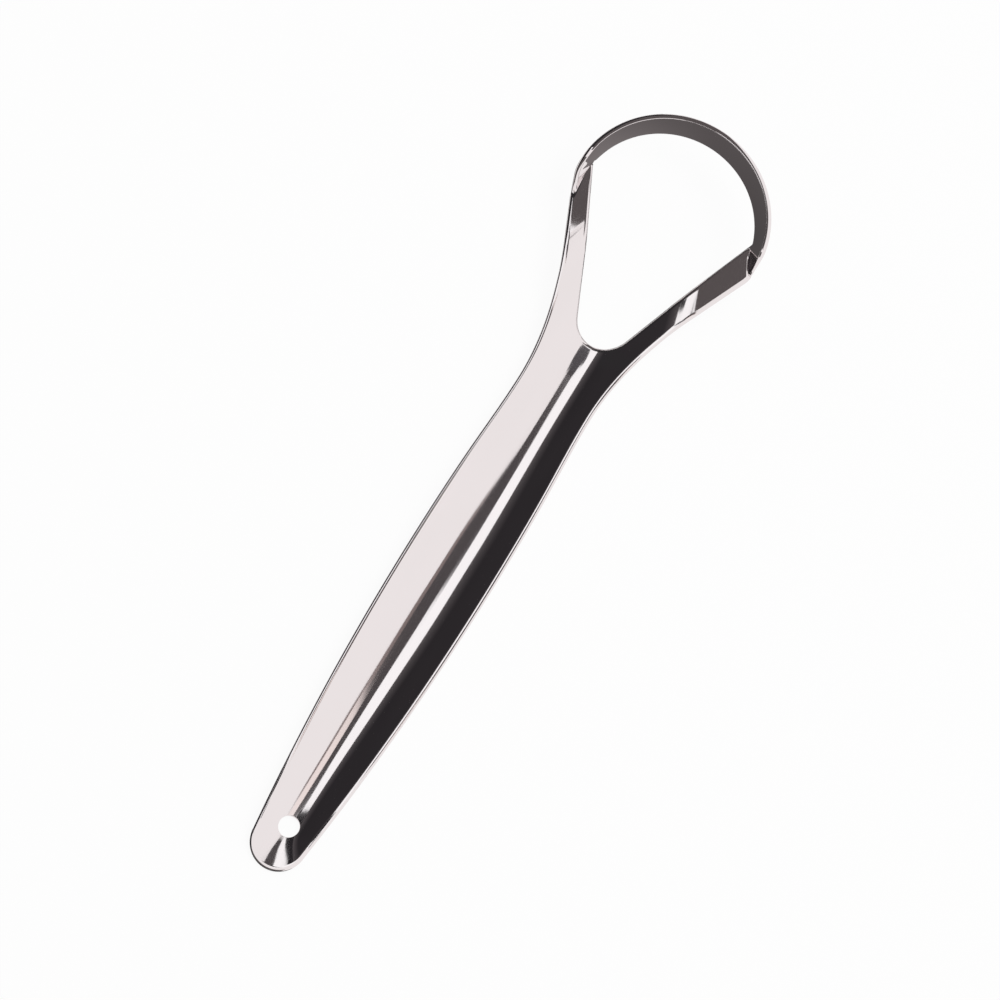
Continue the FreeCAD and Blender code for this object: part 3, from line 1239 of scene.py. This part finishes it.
    def tail_cards(self) -> None:
        """Low dark cards over the tail: one right of the hole, and one for the wedge below it."""
        self.flat_card("hole_side_card", self.low, Tone.DARK, (
            (-37.5, -48.2), (-26.5, -49.5), (-15, -50.7), (-6, -51.5), (-4, -55.5), (-10.5, -57.2),
            (-14.7, -59.8), (-26, -65.5), (-28, -90), (-37.5, -90)))
        self.flat_card("wedge_card", self.low, Tone.VALLEY, (
            (4.6, -57.5), (-3.5, -57.5), (-4.2, -59.5), (-8, -62), (-8.5, -75), (3, -75), (2.8, -62.2),
            (4.8, -59.7)))

    def head_cards(self) -> None:
        """Cards close to the head: low ones over throat, level arms and rim, and some on the floor."""
        self.flat_card("throat_card", self.low, Tone.THROAT, (
            (10.5, 43.8), (14.2, 46.8), (14.2, 49.2), (8, 49.8), (-8.5, 50.3), (-11.5, 49.8), (-16.5, 48),
            (-16.5, 46.8), (-10, 45.5), (-9.5, 43.8)))
        self.flat_card("arms_card", self.low, Tone.ARMS, (
            (-30, 58.5), (-9, 65.5), (1, 65.5), (9, 61.2), (19.5, 61.2), (21, 70), (20.5, 78), (13, 86),
            (13, 300), (-30, 300)))
        self.flat_card("patch_end_card", self.low, Tone.RIM, (
            (-30, 54.5), (-20.5, 54.5), (-14, 56.3), (-13.8, 60), (-30, 58.5)))
        self.flat_card("rim_card", self.low, Tone.RIM, ((-350, 50), (-30, 58.5), (-30, 300), (-350, 350)))
        self.flat_card("inner_rim_card", self.band_height, Tone.ARMS, (
            (-19, 55.5), (-10.5, 55.5), (-6.5, 66), (0, 67), (-1, 80), (-17, 78)))
        self.flat_card("inner_floor_card", self.under_floor_cards, Tone.RIM, (
            (4.6, 35.4), (13.5, 56), (7.5, 57.5), (0, 55.5), (-6, 53), (-6, 48), (0, 40), (1, 34.5)))
        self.ring_card("loop_right_card", (-20.0, 90.0), (4.0, 4.0), (0.068, 0.108))
        self.ring_card("loop_left_card", (90.0, 165.0), (4.0, 9.0), (0.108, 0.24))

    def ring_card(self, name: str, angles: tuple[float, float], inner: tuple[float, float],
                  tones: tuple[float, float]) -> None:
        """Lays a part of a ring on the loop's floor, which fades from right to left.

        Args:
            name: name of the card.
            angles: where the part begins and ends, in degrees from the right.
            inner: inner radius at its two ends.
            tones: brightness of its two ends.
        """
        away = ray(np.radians(np.linspace(*angles, self.ring_rows)))
        inner_radius = np.linspace(*inner, self.ring_rows)[:, None]
        ring = np.concatenate([inner_radius * away, self.ring_radius * away[::-1]]) + self.ring_middle
        corners = tuple((float(x), float(y), self.on_floor) for x, y in ring)
        right, left = (tuple(tone * share for share in self.ring_tint) for tone in tones)
        Card(name, corners, right, left, axis=0).build()

    def light(self) -> None:
        """One wide soft lamp, and an even world that reflections see as white."""
        lamp = bpy.data.lights.new("soft_lamp", "AREA")
        lamp.size = self.lamp_size * MM
        lamp.energy = self.lamp_power
        holder = add_object("soft_lamp", lamp)
        holder.location = Vector(self.lamp_place) * MM
        holder.rotation_euler = Vector(self.lamp_place).to_track_quat("Z", "Y").to_euler()
        holder.visible_glossy = False
        world = bpy.data.worlds.new("white_room")
        bpy.context.scene.world = world
        graph = Graph(world)
        strength = self.world_light + (1 - self.world_light) * graph.seen()
        sky = graph.node("ShaderNodeBackground", {}, {"Color": WHITE_PAPER, "Strength": strength})
        graph.node("ShaderNodeOutputWorld", {}, {"Surface": sky.outputs[0]})

    def build(self) -> None:
        """Sets up floor, cards and light."""
        self.floor()
        self.overhead_cards()
        self.side_cards()
        self.tail_cards()
        self.head_cards()
        self.light()


@dataclass(frozen=True)
class ViewPoint:
    """Camera of the photograph: almost overhead, a little from the tail, with the tool slanting.

    Lengths are in millimetres and angles in degrees.
    """

    lens: float = 200.0
    sensor: float = 36.0
    nearest: float = 10.0
    tilt: float = 14.759
    roll: float = 31.804
    aim: tuple[float, float, float] = (1.226, 0.432, 2.0)
    distance: float = 937.6

    def build(self) -> None:
        """Places the camera and makes it the scene's own."""
        tilt, roll = math.radians(self.tilt), math.radians(self.roll)
        view = np.array([0.0, math.sin(tilt), -math.cos(tilt)])
        level, climb = np.array([1.0, 0.0, 0.0]), np.array([0.0, math.cos(tilt), math.sin(tilt)])
        right = math.cos(roll) * level + math.sin(roll) * climb
        up = -math.sin(roll) * level + math.cos(roll) * climb
        pose = np.eye(4)
        pose[:3] = np.column_stack([right, up, -view, (np.array(self.aim) - self.distance * view) * MM])
        camera = bpy.data.cameras.new("photo_camera")
        camera.lens = self.lens
        camera.sensor_width = self.sensor
        camera.clip_start = self.nearest * MM
        holder = add_object("photo_camera", camera)
        holder.matrix_world = Matrix(pose.tolist())
        bpy.context.scene.camera = holder


def main() -> None:
    """Builds the tool's pieces, the studio and the camera."""
    logging.basicConfig(level=logging.INFO, format="%(name)s %(message)s")
    form = PressForm(SheetSizes())
    steel = PolishedSteel().material()
    pieces = [HangingEye("polished_eye", "hanging_eye", form),
              HandleTrough("polished_handle", "handle", form),
              Fork("polished_fork", "fork", form),
              Arm("polished_left_arm", "left_arm", form, Side.LEFT),
              Arm("polished_right_arm", "right_arm", form, Side.RIGHT),
              ScrapingBand("polished_band", "scraping_band", form)]
    for piece in pieces:
        piece.build(steel)
    Studio().build()
    ViewPoint().build()
    bpy.context.scene.view_settings.view_transform = "Standard"


if __name__ == "__main__":
    main()
